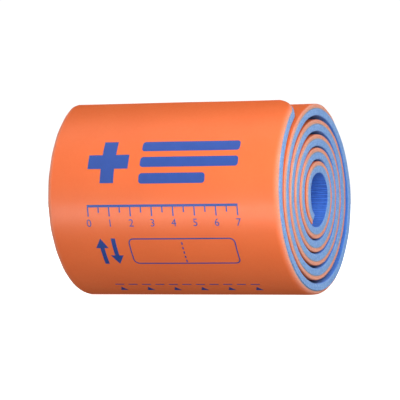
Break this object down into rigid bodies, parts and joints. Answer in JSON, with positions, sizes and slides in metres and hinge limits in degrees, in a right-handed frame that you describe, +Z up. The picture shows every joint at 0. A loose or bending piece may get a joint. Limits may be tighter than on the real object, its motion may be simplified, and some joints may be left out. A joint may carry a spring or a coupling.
{
  "type": "aluminium foam splint",
  "caption": "Rolled-up foam splint: a soft aluminium sheet between an outer and an inner foam layer, wound into a loose spiral that lies on its side.",
  "frame": {"origin": "on the surface that the roll rests on, under the middle of its bounding box", "axes": "+X along the roll's axis, towards the end where the flap's edge is drawn in; +Z up; -Y is the front, which the outer flap covers"},
  "size_m": [0.1084, 0.0886, 0.0842],
  "materials": {
    "outer_foam": "satin closed-cell foam skin",
    "core_sheet": "cut edge of soft sheet",
    "inner_foam": "matt closed-cell foam",
    "print": "thin printed ink"
  },
  "bodies": {
    "root": {"outer_foam": "outer_foam", "core_sheet": "core_sheet", "inner_foam": "inner_foam"}
  },
  "joints": []
}
